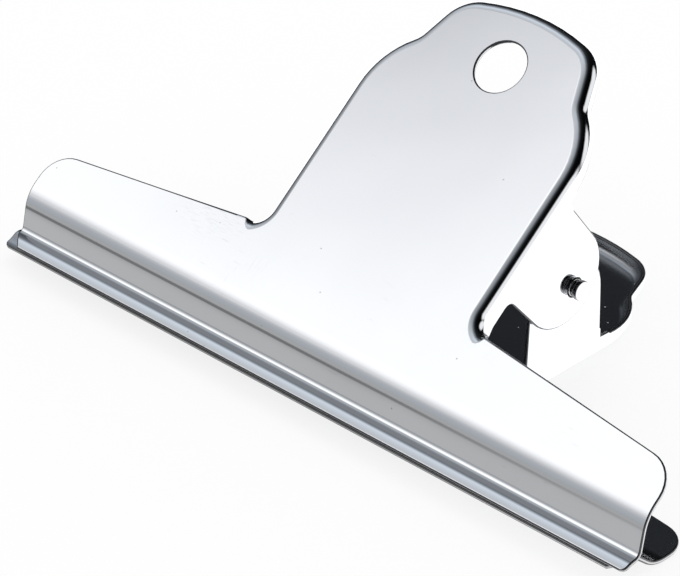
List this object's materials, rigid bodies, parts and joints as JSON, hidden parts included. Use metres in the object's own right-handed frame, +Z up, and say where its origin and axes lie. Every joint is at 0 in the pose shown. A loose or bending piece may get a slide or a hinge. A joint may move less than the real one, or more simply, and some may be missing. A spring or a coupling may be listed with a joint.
{
  "type": "bulldog clip",
  "caption": "Wide spring-steel bulldog clip with long flat jaws, two short handles with rolled edges and hanging holes, and a coil spring on a headed pin.",
  "frame": {"origin": "middle of the clip's box, on the floor under the flat handle of its back plate", "axes": "+X along the jaws, +Y from the lips towards the handles, +Z up from the back plate to the front plate"},
  "size_m": [0.1465, 0.0784, 0.055],
  "materials": {
    "plated_sheet": "polished",
    "pin_steel": "polished",
    "spring_wire": "satin"
  },
  "bodies": {
    "back": {"back_plate": "plated_sheet", "pivot_pin": "pin_steel", "torsion_spring": "spring_wire"},
    "front": {"front_plate": "plated_sheet"}
  },
  "joints": [
    {"name": "handles_hinge", "type": "hinge", "parent": "back", "child": "front", "pos_m": [0, 0.00289, 0.0186], "axis": [-1, 0, 0], "range_deg": [0, 84], "stiffness_Nm_per_rad": 0.83, "springref_deg": -100.27, "deforming": ["torsion_spring"]}
  ]
}
